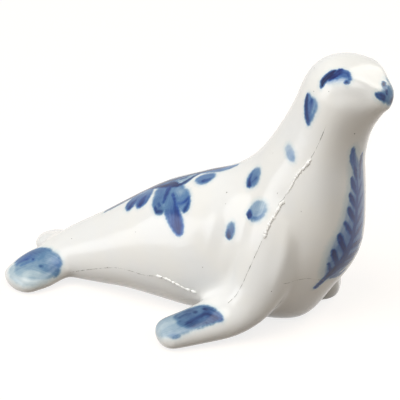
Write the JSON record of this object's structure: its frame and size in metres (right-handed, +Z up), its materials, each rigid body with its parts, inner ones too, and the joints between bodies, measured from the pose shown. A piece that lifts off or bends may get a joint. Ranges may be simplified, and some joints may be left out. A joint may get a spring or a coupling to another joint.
{
  "type": "seal figurine",
  "caption": "Seal figurine lying on its belly and flippers with its head raised and turned, white glaze with blue brushwork, a decorative shelf piece.",
  "frame": {"origin": "on the table, in the middle of the flat underside of the belly", "axes": "+Z up, +X towards the nose, +Y to the seal's left"},
  "size_m": [0.0866, 0.0509, 0.0619],
  "materials": {
    "glaze": "glossy clear glaze over warm white porcelain, with cobalt blue hand painting under it"
  },
  "bodies": {
    "root": {"seal_body": "glaze"}
  },
  "joints": []
}
